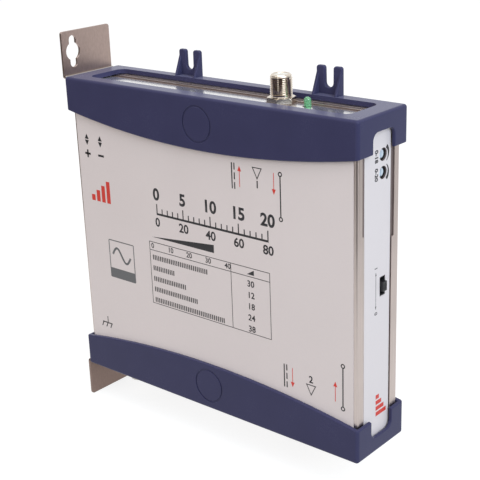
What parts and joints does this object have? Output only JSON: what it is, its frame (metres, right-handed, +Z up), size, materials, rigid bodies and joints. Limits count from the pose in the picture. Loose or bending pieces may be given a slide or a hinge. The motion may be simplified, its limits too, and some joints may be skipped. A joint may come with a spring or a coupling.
{
  "type": "tv signal amplifier",
  "caption": "Flat wall-mounted amplifier for aerial television signals: sheet-metal case between moulded end caps, threaded coaxial ports, trimmers, slide switch, brackets.",
  "frame": {"origin": "middle of the wall plane, which the back faces of both end caps lie on", "axes": "+X to the right seen from the front, +Y to the wall, +Z up"},
  "size_m": [0.1674, 0.0352, 0.1868],
  "materials": {
    "cap_plastic": "satin",
    "case_steel": "satin",
    "front_print": "satin",
    "white_print": "satin",
    "bracket_steel": "satin",
    "screw_steel": "bright",
    "board_resin": "gloss",
    "port_nickel": "bright",
    "insulator_plastic": "satin",
    "contact_brass": "bright",
    "lamp_resin": "gloss",
    "black_plastic": "matt",
    "rotor_plastic": "satin",
    "sink_aluminium": "satin",
    "ferrite": "matt",
    "capacitor_sleeve": "gloss",
    "chip_ceramic": "matt"
  },
  "bodies": {
    "housing": {"top_cap": "cap_plastic", "bottom_cap": "cap_plastic", "front_cover": "case_steel", "back_cover": "case_steel", "chassis_frame": "case_steel", "shield_walls": "case_steel", "filter_cans": "case_steel", "front_label": "front_print", "side_label": "white_print", "top_label": "white_print", "top_bracket": "bracket_steel", "bottom_bracket": "bracket_steel", "bracket_screws": "screw_steel", "board_screws": "screw_steel", "earth_post": "screw_steel", "earth_washer": "screw_steel", "earth_screw": "screw_steel", "circuit_board": "board_resin", "input_connector": "port_nickel", "input_nut": "port_nickel", "output_connector": "port_nickel", "output_nut": "port_nickel", "input_insulator": "insulator_plastic", "output_insulator": "insulator_plastic", "input_contact": "contact_brass", "output_contact": "contact_brass", "power_socket_pin": "contact_brass", "lamp_leads": "contact_brass", "lamp_lens": "lamp_resin", "slope_trimmer": "black_plastic", "gain_trimmer": "black_plastic", "switch_housing": "black_plastic", "power_socket": "black_plastic", "amplifier_module": "black_plastic", "regulator": "black_plastic", "heat_sink": "sink_aluminium", "regulator_tab": "sink_aluminium", "can_cores": "ferrite", "ferrite_rings": "ferrite", "capacitors": "capacitor_sleeve", "chip_parts": "chip_ceramic"},
    "slope_rotor": {"slope_rotor": "rotor_plastic"},
    "gain_rotor": {"gain_rotor": "rotor_plastic"},
    "switch_slider": {"switch_slider": "black_plastic"}
  },
  "joints": [
    {"name": "slope_turn", "type": "hinge", "parent": "housing", "child": "slope_rotor", "pos_m": [0.0805, -0.0143, 0.0561], "axis": [1, 0, 0], "range_deg": [-135, 135]},
    {"name": "gain_turn", "type": "hinge", "parent": "housing", "child": "gain_rotor", "pos_m": [0.0805, -0.0143, 0.0486], "axis": [1, 0, 0], "range_deg": [-135, 135]},
    {"name": "supply_switch", "type": "slide", "parent": "housing", "child": "switch_slider", "axis": [0, 0, 1], "range_m": [-0.0016, 0.0016]}
  ]
}
